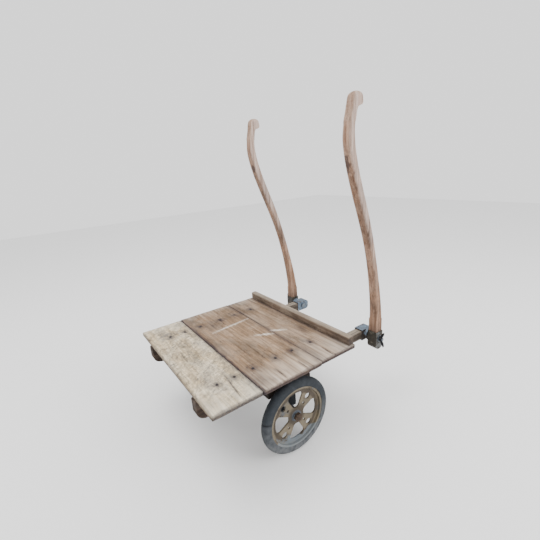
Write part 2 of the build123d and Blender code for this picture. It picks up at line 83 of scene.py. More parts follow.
def place(tree, stretch=(1, 1, 1), shift=(0, 0, 0), turn=0.0):
    """Where we are on the piece, in metres: turned about Z, then stretched and shifted."""
    here = add(tree, "ShaderNodeTexCoord").outputs["Object"]
    if turn:
        turning = {"Vector": here, "Rotation": (0, 0, math.radians(turn))}
        here = add(tree, "ShaderNodeMapping", turning).outputs[0]
    moving = {"Vector": here, "Location": shift, "Scale": stretch}
    return add(tree, "ShaderNodeMapping", moving).outputs[0]

# %% [markdown]
# Almost every mark of age is cloudy and uneven.  Noise gives the clouds, a colour scale
# turns them into colours or amounts, and a mix lays one colour over another.

# %% Noise, colour scale and mix


def speckle(tree, where, scale, detail=5.0, roughness=0.6, distortion=0.0):
    """Cloudy noise between 0 and 1."""
    return add(
        tree,
        "ShaderNodeTexNoise",
        {
            "Vector": where,
            "Scale": scale,
            "Detail": detail,
            "Roughness": roughness,
            "Distortion": distortion,
        },
    ).outputs["Fac"]


def ramp(tree, value, *stops):
    """A colour scale: each stop is a place from 0 to 1 and a colour or a grey level."""
    scale = add(tree, "ShaderNodeValToRGB", {"Fac": value})
    while len(scale.color_ramp.elements) < len(stops):
        scale.color_ramp.elements.new(0.5)
    for element, (position, colour) in zip(scale.color_ramp.elements, stops):
        element.position = position
        element.color = (*(colour if isinstance(colour, tuple) else (colour,) * 3), 1)
    return scale.outputs["Color"]


def mix(tree, share, first, second, how="MIX"):
    """Mix two colours; share 0 keeps the first."""
    made = add(tree, "ShaderNodeMix", data_type="RGBA", blend_type=how)
    sockets = [made.inputs[k] for k in (0, 6, 7)]
    for socket, value in zip(sockets, (share, first, second)):
        if isinstance(value, bpy.types.NodeSocket):
            tree.links.new(value, socket)
        elif isinstance(value, tuple):
            socket.default_value = (*value, 1)
        else:
            socket.default_value = value
    return made.outputs[2]

# %% [markdown]
# Some marks need a little arithmetic, such as "dark where it faces down and is rough".
# The last helper wires colour, roughness and relief into the main shader.

# %% Arithmetic and wiring


def sums(tree, how, first, second=0.0, third=0.0):
    """Arithmetic on two or three numbers."""
    return add(tree, "ShaderNodeMath", {0: first, 1: second, 2: third}, operation=how).outputs[0]


def painted(tree, name):
    """A value that was written on the points of the mesh, such as wear."""
    return add(tree, "ShaderNodeAttribute", attribute_name=name).outputs["Fac"]


def times(tree, first, second):
    """One number times another."""
    return sums(tree, "MULTIPLY", first, second)


def split(tree, source):
    """X, Y and Z of the place on the piece (Object) or of the way it faces (Normal)."""
    whole = add(tree, "ShaderNodeTexCoord").outputs[source]
    return add(tree, "ShaderNodeSeparateXYZ", {0: whole}).outputs


def relief(tree, first, first_share, second, second_share):
    """Two noises added in shares, as the height that the bump follows."""
    return sums(tree, "MULTIPLY_ADD", first, first_share, times(tree, second, second_share))


def finish_off(tree, shader, colour, roughness, height, depth, gloss):
    """Wire colour, roughness and bump into the main shader, and set its gloss."""
    tree.links.new(colour, shader.inputs["Base Color"])
    tree.links.new(roughness, shader.inputs["Roughness"])
    bump = add(tree, "ShaderNodeBump", {"Height": height, "Distance": depth})
    tree.links.new(bump.outputs[0], shader.inputs["Normal"])
    shader.inputs["Specular IOR Level"].default_value = gloss


# %% [markdown]
# ## Old timber
# Sawn timber shows three things at once: broad bands where the saw crossed the growth
# rings, fine fibres that run with the grain, and dirt or bleaching that comes later and
# ignores both.  Each is a noise texture stretched by a different amount along the grain.

# %% The grain of the wood


def stretched(along, with_grain, across):
    """A stretch for each axis: one with the grain, another across it."""
    return tuple(with_grain if axis == along else across for axis in "XYZ")


def grain(tree, along, shift):
    """The noises that run with the grain, each at its own fineness."""

    def lines(with_grain, across, *shape):
        where = place(tree, stretched(along, with_grain, across), shift)
        return speckle(tree, where, 1.0, *shape)

    return {
        "fibres": lines(14.0, 520.0, 4.0, 0.7),
        "specks": lines(75.0, 210.0, 3.0, 0.7),
        "streaks": lines(3.0, 110.0, 5.0, 0.62, 0.3),
        "blotches": lines(8.0, 15.0, 6.0, 0.68, 0.6),
    }


def growth_rings(tree, along, shift, turns, ring_stretch):
    """The long loops that a saw leaves: lines of equal height on a smooth noise."""
    where = place(tree, stretched(along, *ring_stretch), shift)
    loops = speckle(tree, where, 1.0, 2.0, 0.45, 0.9)
    rings = sums(tree, "FRACT", times(tree, loops, turns))
    return ramp(tree, rings, (0.0, 0.62), (0.22, 1.0), (0.75, 1.06), (1.0, 0.80))


# %% [markdown]
# Weather ignores the grain.  Every board has broad gloomy clouds, and the pale board also
# has short strokes across its grain and patches of grey mould.

# %% What the weather adds
STROKES = (  # angle to the grain, stretch, and a shift that makes each set its own
    (74.0, (24.0, 88.0, 60.0), 3.1),
    (40.0, (30.0, 46.0, 60.0), 8.6),
)
MOULD = (0.125, 0.122, 0.125)


def gloom(tree, along):
    """Broad dark clouds."""
    where = place(tree, stretched(along, 5.0, 12.0), (9, 4, 2))
    return ramp(tree, speckle(tree, where, 1.0, 5.0, 0.7, 0.5), (0.36, 0.42), (0.52, 1.0))


def cross_figure(tree, colour, amount):
    """Strokes across the grain, and mould over them."""
    for angle, stretch, shift in STROKES:
        where = place(tree, stretch, (shift, 0, 0), angle)
        strokes = speckle(tree, where, 1.0, 6.0, 0.68, 2.2)
        tone = ramp(tree, strokes, (0.34, 0.40), (0.45, 0.88), (0.60, 1.18))
        colour = mix(tree, amount, colour, tone, "MULTIPLY")
    where = place(tree, (26.0, 50.0, 50.0), (2, 6, 0), 60.0)
    patches = speckle(tree, where, 1.0, 7.0, 0.78, 0.8)
    return mix(tree, ramp(tree, patches, (0.54, 0.0), (0.66, 0.75)), colour, MOULD)


# %% [markdown]
# Now the layers go on in the order in which time laid them: wood, rings, fibres, bleach,
# gloom and dirt.  Wear that belongs to one spot, such as the black stain round an iron
# nail, is written on the points of the mesh and read back here, so it stays where the
# maker put it.

# %% A timber finish
SCRAPED_WOOD = (0.66, 0.60, 0.53)
RING_SHARE, FIBRE_SHARE, GLOOM_SHARE, DIRT_SHARE = 0.7, 0.85, 0.85, 0.7
TIMBER_RELIEF = 0.0014
TIMBER_GLOSS = 0.25


def timber(name, along, colours, shift, turns, ring_stretch, bleached, stained, worn,
           patch, figure=0.0):
    """Weathered timber whose grain runs along X, Y or Z."""
    dark, middle, light = colours
    finish, tree, shader = start_finish(name)
    lines = grain(tree, along, shift)

    colour = ramp(tree, lines["streaks"], (0.33, dark), (0.50, middle), (0.66, light))
    rings = growth_rings(tree, along, shift, turns, ring_stretch)
    colour = mix(tree, RING_SHARE, colour, rings, "MULTIPLY")
    fine = ramp(tree, lines["fibres"], (0.34, 0.50), (0.60, 1.10))
    colour = mix(tree, FIBRE_SHARE, colour, fine, "MULTIPLY")
    weather = ramp(tree, lines["blotches"], (0.44, 0.0), (0.62, 1.0))
    colour = mix(tree, times(tree, weather, patch), colour, bleached)
    colour = mix(tree, GLOOM_SHARE, colour, gloom(tree, along), "MULTIPLY")
    if figure:
        colour = cross_figure(tree, colour, figure)
    dirt = ramp(tree, lines["specks"], (0.30, 1.0), (0.42, 0.0))
    colour = mix(tree, times(tree, dirt, DIRT_SHARE), colour, stained)

    # each mark on the points is broken up by one of the noises, between two stops
    for mark, line, first, last, tint in (
        ("bleach", "streaks", (0.30, 0.15), (0.60, 1.0), bleached),
        ("worn", "specks", (0.30, 1.0), (0.70, 0.7), worn),
        ("stain", "specks", (0.25, 1.0), (0.75, 0.6), stained),
        ("scrape", "fibres", (0.35, 0.1), (0.60, 1.0), SCRAPED_WOOD),
    ):
        broken = ramp(tree, lines[line], first, last)
        colour = mix(tree, times(tree, painted(tree, mark), broken), colour, tint)

    roughness = ramp(tree, lines["streaks"], (0.3, 0.92), (0.7, 0.74))
    height = relief(tree, lines["fibres"], 0.4, lines["streaks"], 0.6)
    finish_off(tree, shader, colour, roughness, height, TIMBER_RELIEF, TIMBER_GLOSS)
    return finish


# %% [markdown]
# The three deck boards are separate pieces of wood, each with its own dirt.  The front one
# is pale, and the other two are brown.

# %% Timber of the deck boards
front_board_finish = timber(
    "pale weathered timber", "X",
    colours=((0.445, 0.345, 0.215), (0.51, 0.405, 0.265), (0.57, 0.47, 0.325)),
    shift=(0.3, 0.1, 0.0), turns=7.0, ring_stretch=(7.0, 17.0),
    bleached=(0.70, 0.63, 0.50), stained=(0.035, 0.035, 0.046),
    worn=(0.060, 0.042, 0.031), patch=0.45, figure=0.9,
)
middle_board_finish = timber(
    "brown deck timber", "X",
    colours=((0.172, 0.104, 0.059), (0.256, 0.163, 0.096), (0.325, 0.220, 0.139)),
    shift=(1.7, 0.4, 0.0), turns=9.0, ring_stretch=(0.8, 9.0),
    bleached=(0.56, 0.475, 0.39), stained=(0.026, 0.020, 0.026),
    worn=(0.045, 0.029, 0.022), patch=0.16,
)
rear_board_finish = timber(
    "brown back board timber", "X",
    colours=((0.163, 0.099, 0.060), (0.240, 0.155, 0.095), (0.308, 0.212, 0.137)),
    shift=(4.1, 1.3, 0.0), turns=8.0, ring_stretch=(0.7, 10.0),
    bleached=(0.56, 0.48, 0.40), stained=(0.026, 0.020, 0.026),
    worn=(0.045, 0.029, 0.022), patch=0.16,
)
print("deck timber:", front_board_finish.name, middle_board_finish.name, rear_board_finish.name)

# %% [markdown]
# The stop and the rails are darker and dirtier, and the cross timber under the deck is
# dirty and darkened almost to black as painted shade.  The handles are a redder wood, given
# here as ash, and they are rubbed by hands.

# %% Timber of the stop, the frame and the handles
cleat_finish = timber(
    "back stop timber", "X",
    colours=((0.072, 0.048, 0.033), (0.145, 0.100, 0.070), (0.225, 0.166, 0.122)),
    shift=(2.2, 3.3, 0.0), turns=6.0, ring_stretch=(0.8, 14.0),
    bleached=(0.44, 0.37, 0.29), stained=(0.025, 0.02, 0.02),
    worn=(0.24, 0.18, 0.13), patch=0.2,
)
rail_finish = timber(
    "dark rail timber", "Y",
    colours=((0.020, 0.012, 0.009), (0.044, 0.027, 0.019), (0.078, 0.050, 0.036)),
    shift=(0.6, 0.2, 1.0), turns=6.0, ring_stretch=(0.9, 12.0),
    bleached=(0.40, 0.34, 0.27), stained=(0.012, 0.010, 0.010),
    worn=(0.085, 0.055, 0.040), patch=0.08,
)
# the bolster is dirty timber, darkened almost to black as painted shade under the deck
bolster_shaded_finish = timber(
    "bolster timber darkened as shade", "X",
    colours=((0.014, 0.009, 0.008), (0.028, 0.019, 0.015), (0.048, 0.034, 0.027)),
    shift=(0.9, 5.2, 0.4), turns=6.0, ring_stretch=(0.9, 12.0),
    bleached=(0.10, 0.08, 0.06), stained=(0.01, 0.01, 0.01),
    worn=(0.06, 0.042, 0.03), patch=0.12,
)
handle_finish = timber(
    "handle ash", "Z",
    colours=((0.165, 0.084, 0.049), (0.300, 0.172, 0.108), (0.395, 0.250, 0.168)),
    shift=(0.2, 0.7, 0.1), turns=7.0, ring_stretch=(0.9, 24.0),
    bleached=(0.55, 0.455, 0.415), stained=(0.020, 0.013, 0.015),
    # the light worn colour on the handle edges is rubbed wood and also a painted highlight along
    # the ridges
    worn=(0.50, 0.38, 0.30), patch=0.08,
)
print("frame timber:", cleat_finish.name, rail_finish.name, bolster_shaded_finish.name)
print("handle timber:", handle_finish.name)

# %% [markdown]
# ## Iron, steel, paint and rubber
# The metal on such a truck is never one colour.  Paint rubs off the raised parts and lets
# dull steel through, zinc plating goes blotchy and blue-grey, and bare iron turns brown.
# All of them are the same recipe: a base coat, a second coat showing through where a noise
# crosses a threshold, rust or dirt where another one does, and finer dirt over everything.

# %% A worn coat
DARKER, LIGHTER = 0.78, 1.22
FINER, BROADER, RUST_FINER = 9, 0.35, 1.6  # against the size of the coat's own patches
RUST_SHIFT = (7.3, 2.1, 4.4)
FINE_DIRT_SHARE = 0.6


def coated(name, base, under, rust, show, rust_show, metallic, rough, scale,
           depth=0.0005, gloss=0.3):
    """A worn coat over a second colour, with rust or dirt on top."""
    finish, tree, shader = start_finish(name)
    here = place(tree)
    wide = speckle(tree, here, scale, 6.0, 0.62, 0.4)
    fine = speckle(tree, here, scale * FINER, 5.0, 0.65)
    broad = speckle(tree, here, scale * BROADER, 4.0, 0.6, 0.8)
    rust_cloud = speckle(tree, place(tree, shift=RUST_SHIFT), scale * RUST_FINER, 7.0, 0.68)

    dark, light = (tuple(k * c for c in base) for k in (DARKER, LIGHTER))
    coat = ramp(tree, broad, (0.3, dark), (0.5, base), (0.72, light))
    rubbed = ramp(tree, wide, (show[0], 0.0), (show[1], 1.0))
    colour = mix(tree, rubbed, coat, under)
    rusty = ramp(tree, rust_cloud, (rust_show[0], 0.0), (rust_show[1], 1.0))
    colour = mix(tree, rusty, colour, rust)
    fine_dirt = ramp(tree, fine, (0.3, 0.62), (0.6, 1.1))
    colour = mix(tree, FINE_DIRT_SHARE, colour, fine_dirt, "MULTIPLY")

    roughness = ramp(tree, wide, (0.35, rough[0]), (0.65, rough[1]))
    height = relief(tree, wide, 0.5, fine, 0.5)
    finish_off(tree, shader, colour, roughness, height, depth, gloss)
    shader.inputs["Metallic"].default_value = metallic
    return finish


# %% [markdown]
# The large metal pieces each have a coat of their own: khaki paint on the wheels, zinc on
# the caps and bosses, worn dark steel on the shoes and nearly black plates behind the
# wheels.

# %% Finishes of the large metal pieces
wheel_finish = coated(
    "worn khaki wheel paint",
    base=(0.150, 0.122, 0.082), under=(0.085, 0.089, 0.092), rust=(0.036, 0.024, 0.016),
    show=(0.54, 0.66), rust_show=(0.56, 0.70),
    metallic=0.0, rough=(0.5, 0.8), scale=26.0, depth=0.0009,
)
cap_finish = coated(
    "zinc cap",
    base=(0.100, 0.140, 0.190), under=(0.26, 0.31, 0.37), rust=(0.060, 0.038, 0.024),
    show=(0.52, 0.70), rust_show=(0.50, 0.64),
    metallic=0.35, rough=(0.38, 0.62), scale=70.0,
)
shoe_finish = coated(
    "worn shoe steel",
    base=(0.028, 0.024, 0.018), under=(0.13, 0.115, 0.090), rust=(0.040, 0.025, 0.017),
    show=(0.54, 0.72), rust_show=(0.52, 0.68),
    metallic=0.2, rough=(0.45, 0.72), scale=80.0,
)
hanger_finish = coated(
    "dark hanger plate",
    base=(0.020, 0.024, 0.030), under=(0.05, 0.05, 0.054), rust=(0.035, 0.023, 0.017),
    show=(0.56, 0.7), rust_show=(0.60, 0.75),
    metallic=0.2, rough=(0.5, 0.75), scale=45.0,
)
print("large metal:", wheel_finish.name, cap_finish.name, shoe_finish.name, hanger_finish.name)

# %% [markdown]
# Bolts, nuts, washers and nails are small, so their patches are finer.  Rubber is the same
# recipe with no metal in it and very little gloss, which keeps it dark under white light.

# %% Finishes of the small metal pieces and the rubber
steel_finish = coated(
    "dull axle steel",
    base=(0.11, 0.13, 0.155), under=(0.21, 0.24, 0.27), rust=(0.065, 0.042, 0.030),
    show=(0.5, 0.7), rust_show=(0.56, 0.70),
    metallic=0.5, rough=(0.35, 0.6), scale=90.0,
)
rust_finish = coated(
    "rusty iron",
    base=(0.060, 0.038, 0.025), under=(0.115, 0.085, 0.060), rust=(0.026, 0.016, 0.011),
    show=(0.52, 0.68), rust_show=(0.5, 0.65),
    metallic=0.3, rough=(0.55, 0.8), scale=110.0,
)
nail_finish = coated(
    "nail iron",
    base=(0.022, 0.018, 0.020), under=(0.055, 0.042, 0.036), rust=(0.015, 0.011, 0.011),
    show=(0.5, 0.7), rust_show=(0.5, 0.7),
    metallic=0.3, rough=(0.5, 0.8), scale=220.0,
)
black_finish = coated(
    "black iron",
    base=(0.010, 0.010, 0.012), under=(0.04, 0.037, 0.035), rust=(0.028, 0.018, 0.012),
    show=(0.60, 0.72), rust_show=(0.62, 0.75),
    metallic=0.3, rough=(0.35, 0.6), scale=140.0,
)
rubber_finish = coated(
    "old grey rubber",
    base=(0.016, 0.020, 0.025), under=(0.030, 0.035, 0.042), rust=(0.055, 0.057, 0.058),
    show=(0.50, 0.70), rust_show=(0.66, 0.82),
    metallic=0.0, rough=(0.55, 0.8), scale=30.0, depth=0.0009, gloss=0.16,
)
print("small metal:", steel_finish.name, rust_finish.name, nail_finish.name, black_finish.name)
print("rubber:", rubber_finish.name)

# %% [markdown]
# ## Marks that follow the shape
# Grease and painted shade darken the outboard and lower faces of the caps, and the flat
# sides of the shoes are rubbed bare in patches.  Both are found from the way the surface
# faces, so they need no painting by hand.

# %% Grease and painted shade on the caps, bare patches on the shoes
# dark colour for the caps' outboard and lower faces: some grease, mostly painted shade
CAP_GREASE_AND_SHADE = (0.038, 0.026, 0.018)
RUBBED_SHOE_STEEL = (0.125, 0.130, 0.130)


def cover_zone(finish, share, colour):
    """Lay one more colour over a finished surface, by a share from 0 to 1."""
    tree = finish.node_tree
    base = tree.nodes["Principled BSDF"].inputs["Base Color"]
    below = base.links[0].from_socket
    tree.links.new(mix(tree, share, below, colour), base)


def cap_grease_and_shade(tree):
    """Grease and painted shade, most where the cap faces outboard and down."""
    here, facing = split(tree, "Object"), split(tree, "Normal")
    outboard = times(tree, facing["X"], sums(tree, "SIGN", here["X"]))
    # faces that look outboard towards the handle's shoe, and faces that look down, get painted
    # shade
    shaded_facing = sums(tree, "MULTIPLY_ADD", outboard, 0.45, times(tree, facing["Z"], -0.8))
    clouds = speckle(tree, place(tree), 90.0, 6.0, 0.7)
    grime_and_shade = sums(tree, "MULTIPLY_ADD", clouds, 0.6, shaded_facing)
    return ramp(tree, grime_and_shade, (0.0, 0.0), (0.32, 0.92))


def shoe_rubbing(tree):
    """Bare steel on the faces that look sideways."""
    sideways = sums(tree, "ABSOLUTE", split(tree, "Normal")["X"])
    clouds = speckle(tree, place(tree), 70.0, 6.0, 0.7)
    rubbed = sums(tree, "MULTIPLY_ADD", clouds, 0.9, times(tree, sideways, 0.5))
    return ramp(tree, rubbed, (0.90, 0.0), (1.0, 0.75))


cover_zone(cap_finish, cap_grease_and_shade(cap_finish.node_tree), CAP_GREASE_AND_SHADE)
cover_zone(shoe_finish, shoe_rubbing(shoe_finish.node_tree), RUBBED_SHOE_STEEL)
print("zones on:", cap_finish.name, shoe_finish.name)

# %% [markdown]
# The wheel is dark in a ring inside the rim, from grime and from painted shade in the rim's
# recess, and round the hub from grime.  Its paint has gone altogether on the hub and low down
# inside the rim.  These places are found by measuring from the axle, on the wheel itself, so
# the finish turns with the wheel.

# %% Grime, painted shade and bare steel on the wheel
GRIME_AND_SHADE_RING_REACH = 0.080  # metres from the axle
# dark colour for grime round the hub, and for grime and painted shade inside the rim
WHEEL_GRIME_AND_SHADE = (0.034, 0.024, 0.016)
BARE_HUB_STEEL = (0.085, 0.104, 0.130)
BARE_RIM_STEEL = (0.150, 0.180, 0.205)
axle_middle = (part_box("wheel_bush_right")[0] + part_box("wheel_bush_right")[1]) / 2


def wheel_place(tree):
    """How far from the axle we are, and how high above it."""
    here = split(tree, "Object")
    y = sums(tree, "SUBTRACT", here["Y"], axle_middle.y)
    z = sums(tree, "SUBTRACT", here["Z"], axle_middle.z)
    return sums(tree, "SQRT", sums(tree, "MULTIPLY_ADD", y, y, times(tree, z, z))), z


def wheel_zones(tree):
    """Shares for the grime and painted shade, the bare hub and the bare part of the rim."""
    reach, height = wheel_place(tree)
    patches = speckle(tree, place(tree), 30.0, 6.0, 0.65)
    # the ring inside the rim is grime and painted shade in the rim's recess; round the hub it is
    # grime
    off_ring = sums(tree, "ABSOLUTE", sums(tree, "SUBTRACT", reach, GRIME_AND_SHADE_RING_REACH))
    ring = sums(tree, "SUBTRACT", 1.0, times(tree, off_ring, 90.0))
    round_hub = sums(tree, "MULTIPLY_ADD", reach, -26.0, 1.25)
    grimy_and_shaded = sums(tree, "MAXIMUM", ring, round_hub)
    grime_and_shade = sums(tree, "MULTIPLY_ADD", patches, 0.9, grimy_and_shaded)
    hub = sums(tree, "MULTIPLY_ADD", patches, 0.15, times(tree, reach, 20.0))
    low_rim = sums(tree, "MULTIPLY_ADD", height, -7.0, patches)
    return (
        ramp(tree, grime_and_shade, (0.62, 0.0), (1.0, 0.8)),
        ramp(tree, hub, (0.40, 0.7), (0.48, 0.0)),
        ramp(tree, low_rim, (0.93, 0.0), (1.0, 0.72)),
    )


wheel_colours = (WHEEL_GRIME_AND_SHADE, BARE_HUB_STEEL, BARE_RIM_STEEL)
for share, colour in zip(wheel_zones(wheel_finish.node_tree), wheel_colours):
    cover_zone(wheel_finish, share, colour)
print("wheel zones measured from", [round(v, 4) for v in axle_middle])

# %% [markdown]
# The tyre carries pale dust, most of it low down, and one black splice.  Both are written
# on its points when it is made, and only read here.

# %% Dust and splice on the tyre
TYRE_DUST = (0.155, 0.16, 0.165)
SPLICE_BLACK = (0.012, 0.013, 0.015)


def tyre_dust(tree):
    """The painted dust, broken up by clouds."""
    clouds = speckle(tree, place(tree), 60.0, 7.0, 0.7)
    return times(tree, painted(tree, "dust"), ramp(tree, clouds, (0.35, 0.25), (0.62, 1.0)))


cover_zone(rubber_finish, tyre_dust(rubber_finish.node_tree), TYRE_DUST)
cover_zone(rubber_finish, painted(rubber_finish.node_tree, "stain"), SPLICE_BLACK)
print("zones on:", rubber_finish.name)

# %% [markdown]
# ## Boards with worn edges
# A board that has carried crates for years has no sharp edge left: corners are rounded
# unevenly and chipped, and the face is slightly hollow.  A modelled bevel is too regular,
# so each deck board is built as a fine grid of points, its edges are rounded by a radius
# that changes along the board, and the surface is moved a little by noise.  Every point
# only moves inwards, so the board stays inside the size that the frame gives.

# %% A grid of points with soft edges


def grid_block(low, high, step):
    """Points and four-sided faces of a box covered with an even grid."""
    spans = [h - l for l, h in zip(low, high)]
    counts = [max(2, round(span / step)) for span in spans]
    index, points, faces = {}, [], []

    def point(key):
        if key not in index:
            index[key] = len(points)
            points.append([l + s * k / c for l, s, k, c in zip(low, spans, key, counts)])
        return index[key]

    for axis in range(3):
        u, v = (axis + 1) % 3, (axis + 2) % 3
        for side in (0, counts[axis]):
            for i in range(counts[u]):
                for j in range(counts[v]):
                    corners = []
                    for du, dv in ((0, 0), (1, 0), (1, 1), (0, 1)):
                        key = [0, 0, 0]
                        key[axis], key[u], key[v] = side, i + du, j + dv
                        corners.append(point(tuple(key)))
                    faces.append(corners if side else corners[::-1])
    return np.array(points), faces


def soften(points, low, high, radius):
    """Round the edges of a box; radius may differ from point to point."""
    low, high = np.array(low), np.array(high)
    radius = np.asarray(radius, float)[:, None] * np.ones((1, 3))
    core = np.minimum(np.maximum(points, low + radius), high - radius)
    away = points - core
    length = np.linalg.norm(away, axis=1, keepdims=True)
    return core + away / np.maximum(length, 1e-9) * np.minimum(length, radius[:, :1])


def cloud(points, scale, seed):
    """Noise between -1 and 1 at many points; scale is in waves per metre."""
    shift = Vector((seed * 3.7, seed * 1.9, seed * 5.3))
    return np.array([noise.noise(Vector(p * scale) + shift) for p in points])


# %% [markdown]
# Every new piece is handed over in the same way: it gets its marks and its finish, rides
# on a body of the frame, and stands for one CAD node.

# %% Hand a piece over


def make_piece(name, points, faces, finish, body, node, marks=None):
    """Turn points and faces into a finished piece that stands for a CAD node."""
    mesh = bpy.data.meshes.new(name)
    mesh.from_pydata([tuple(p) for p in points], [], faces)
    for mark, values in (marks or {}).items():
        layer = mesh.attributes.new(mark, "FLOAT", "POINT")
        layer.data.foreach_set("value", np.clip(values, 0, 1).astype(np.float32))
    mesh.validate()
    mesh.polygons.foreach_set("use_smooth", [True] * len(mesh.polygons))
    mesh.materials.append(finish)
    piece = bpy.data.objects.new(name, mesh)
    bpy.context.scene.collection.objects.link(piece)
    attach(piece, body)
    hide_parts(node)
    print(name, "points", len(points))


# %% [markdown]
# ## The deck boards
# Three boards of different widths lie across the truck.  The front one is a paler piece
# of wood than the other two, all three are bleached at the ends, and each nail has let
# iron run into the wood around it.  The nails' places are read from the frame, because a
# stain beside its nail would look wrong at once.

# %% Where the nails are
HEAD_ZONE = 0.012  # metres: points nearer than this belong to one nail head
HEAD_LEVEL = 0.0002  # metres: a head's points lie this near to the top
nail_mesh = nodes["deck_nails"].data
nail_points = np.array([v.co[:] for v in nail_mesh.vertices])
deck_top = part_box("deck_nails")[1].z
head_points = nail_points[nail_points[:, 2] > deck_top - HEAD_LEVEL]
nail_places = []
for x, y, _ in head_points:
    if not any(math.hypot(x - nx, y - ny) < HEAD_ZONE for nx, ny in nail_places):
        near = np.hypot(head_points[:, 0] - x, head_points[:, 1] - y) < HEAD_ZONE
        group = head_points[near]
        nail_places.append(tuple(group[:, :2].mean(0)))
print("nails:", len(nail_places), "deck top:", round(deck_top, 4))

# %% [markdown]
# Marks fade out at their edges, and cracks and scrapes follow lines.  These two helpers
# measure both.  All the distances below are in metres.

# %% Distances for marks


def near_line(points, start, end):
    """Distance from each point to a straight line drawn on the deck."""
    start, end = np.array(start), np.array(end)
    way = end - start
    share = np.clip(((points[:, :2] - start) @ way) / (way @ way), 0, 1)
    return np.linalg.norm(points[:, :2] - start - share[:, None] * way, axis=1), share


def fade(distance, inner, outer):
    """1 inside the inner distance, 0 outside the outer one."""
    return np.clip((outer - distance) / (outer - inner), 0, 1)


# %% [markdown]
# The wood itself is worn first: rounded edges, chips, and a top that is a little hollow.
# Iron nails then stain the wood black and draw it down around their heads.

# %% The worn board and its nail stains
BOARD_GRID = 0.0026


def worn_board(low, high, seed):
    """Points and faces of a board, how rough each point is, and how much it is on top."""
    points, faces = grid_block(low, high, BOARD_GRID)
    rough = cloud(points, 34.0, seed)
    chips = np.clip(cloud(points * np.array([1, 1, 0.3]), 70.0, seed + 3) - 0.25, 0, 1)
    radius = 0.0022 + 0.0012 * rough + 0.0042 * chips
    points = soften(points, low, high, np.clip(radius, 0.0008, 0.0062))
    top = fade(high.z - points[:, 2], 0.0003, 0.003)
    wave = cloud(points * np.array([0.35, 1, 1]), 22.0, seed + 5)
    points[:, 2] -= top * (0.0004 + 0.0004 * wave)
    return points, faces, rough, top


def nail_stains(points, top, seed):
    """A dark ring and a paler one round each nail, in a small dip."""
    stain = np.zeros(len(points))
    for x, y in nail_places:
        away = np.hypot((points[:, 0] - x) * 0.72, points[:, 1] - y)
        away = away * (1 + 0.75 * cloud(points, 75.0, seed))
        stain = np.maximum(stain, 0.95 * fade(away, 0.0048, 0.0100))
        stain = np.maximum(stain, 0.60 * fade(away, 0.0080, 0.0230))
        points[:, 2] -= top * 0.0007 * fade(away, 0.003, 0.010)
    return stain


# %% [markdown]
# Boards crack as they dry, mostly from their ends, and each crack here is a real groove in
# the mesh.  Scrapes are only torn, paler fibres.  Dirt and painted shade lie along the seams,
# dirt at the sawn ends, and a painted shadow along the foot of the stop.

# %% Cracks, scrapes, dirt and painted shade


def open_cracks(points, top, cracks, seed):
    """Cut each crack into the top, and tell how dark it is."""
    stain = np.zeros(len(points))
    for start, end, width in cracks:
        away, share = near_line(points, start, end)
        away = away + 0.0014 * cloud(points, 60.0, seed)
        pinch = np.sin(np.pi * np.clip(share, 0.04, 0.96)) ** 0.4
        cut = fade(np.abs(away), width * 0.4, width) * pinch
        points[:, 2] -= top * cut * 0.0032
        stain = np.maximum(stain, 0.9 * cut)
    return stain


def torn_scrapes(points, scrapes, seed):
    """Pale torn fibres along each scrape."""
    scrape = np.zeros(len(points))
    for start, end, width in scrapes:
        away, share = near_line(points, start, end)
        torn = cloud(points * np.array([1, 3, 1]), 90.0, seed)
        pinch = np.sin(np.pi * np.clip(share, 0.06, 0.94)) ** 0.6
        mark = fade(away * (1.2 + torn), width * 0.3, width) * pinch
        scrape = np.maximum(scrape, mark)
    return scrape


def board_dirt(points, low, high, rough, seam_grime_and_shade, stop_shadow_y):
    """Grime and painted shade along the front and back edges, grime at the ends, and a painted
    shadow along the foot of the stop.
    """
    stain = np.zeros(len(points))
    front, back = points[:, 1] - low.y, high.y - points[:, 1]
    for edge, grime_and_shade in zip((front, back), seam_grime_and_shade):
        reach = edge * (1 + 0.6 * rough)
        # the narrow dark band at each seam edge is dirt and painted shade in the gap between
        # boards
        stain = np.maximum(stain, grime_and_shade * fade(reach, 0.0030, 0.0075))
        stain = np.maximum(stain, 0.35 * grime_and_shade * fade(reach, 0.006, 0.030))
    ends = np.minimum(high.x - points[:, 0], points[:, 0] - low.x) * (1 + 0.9 * rough)
    stain = np.maximum(stain, 0.75 * fade(ends, 0.0018, 0.0060))
    # painted shadow where the stop stands on the deck
    if stop_shadow_y is not None:
        from_stop_shadow = np.abs(points[:, 1] - stop_shadow_y) * (1 + 0.5 * rough)
        stain = np.maximum(stain, 0.8 * fade(from_stop_shadow, 0.0025, 0.0090))
    return stain


def smudged(points, smudges, seed):
    """Soft dark smudges, longer across the truck than along it."""
    stain = np.zeros(len(points))
    for x, y, spread in smudges:
        away = np.hypot((points[:, 0] - x) * 0.5, points[:, 1] - y)
        away = away * (1 + 0.6 * cloud(points, 28.0, seed))
        stain = np.maximum(stain, 0.50 * fade(away, 0.2 * spread, spread))
    return stain


# %% [markdown]
# One function puts a board together.  The sides are worn and not bleached, the seams are
# darker with dirt and painted shade, and the right end is bleached further in than the left.

# %% Put a deck board together


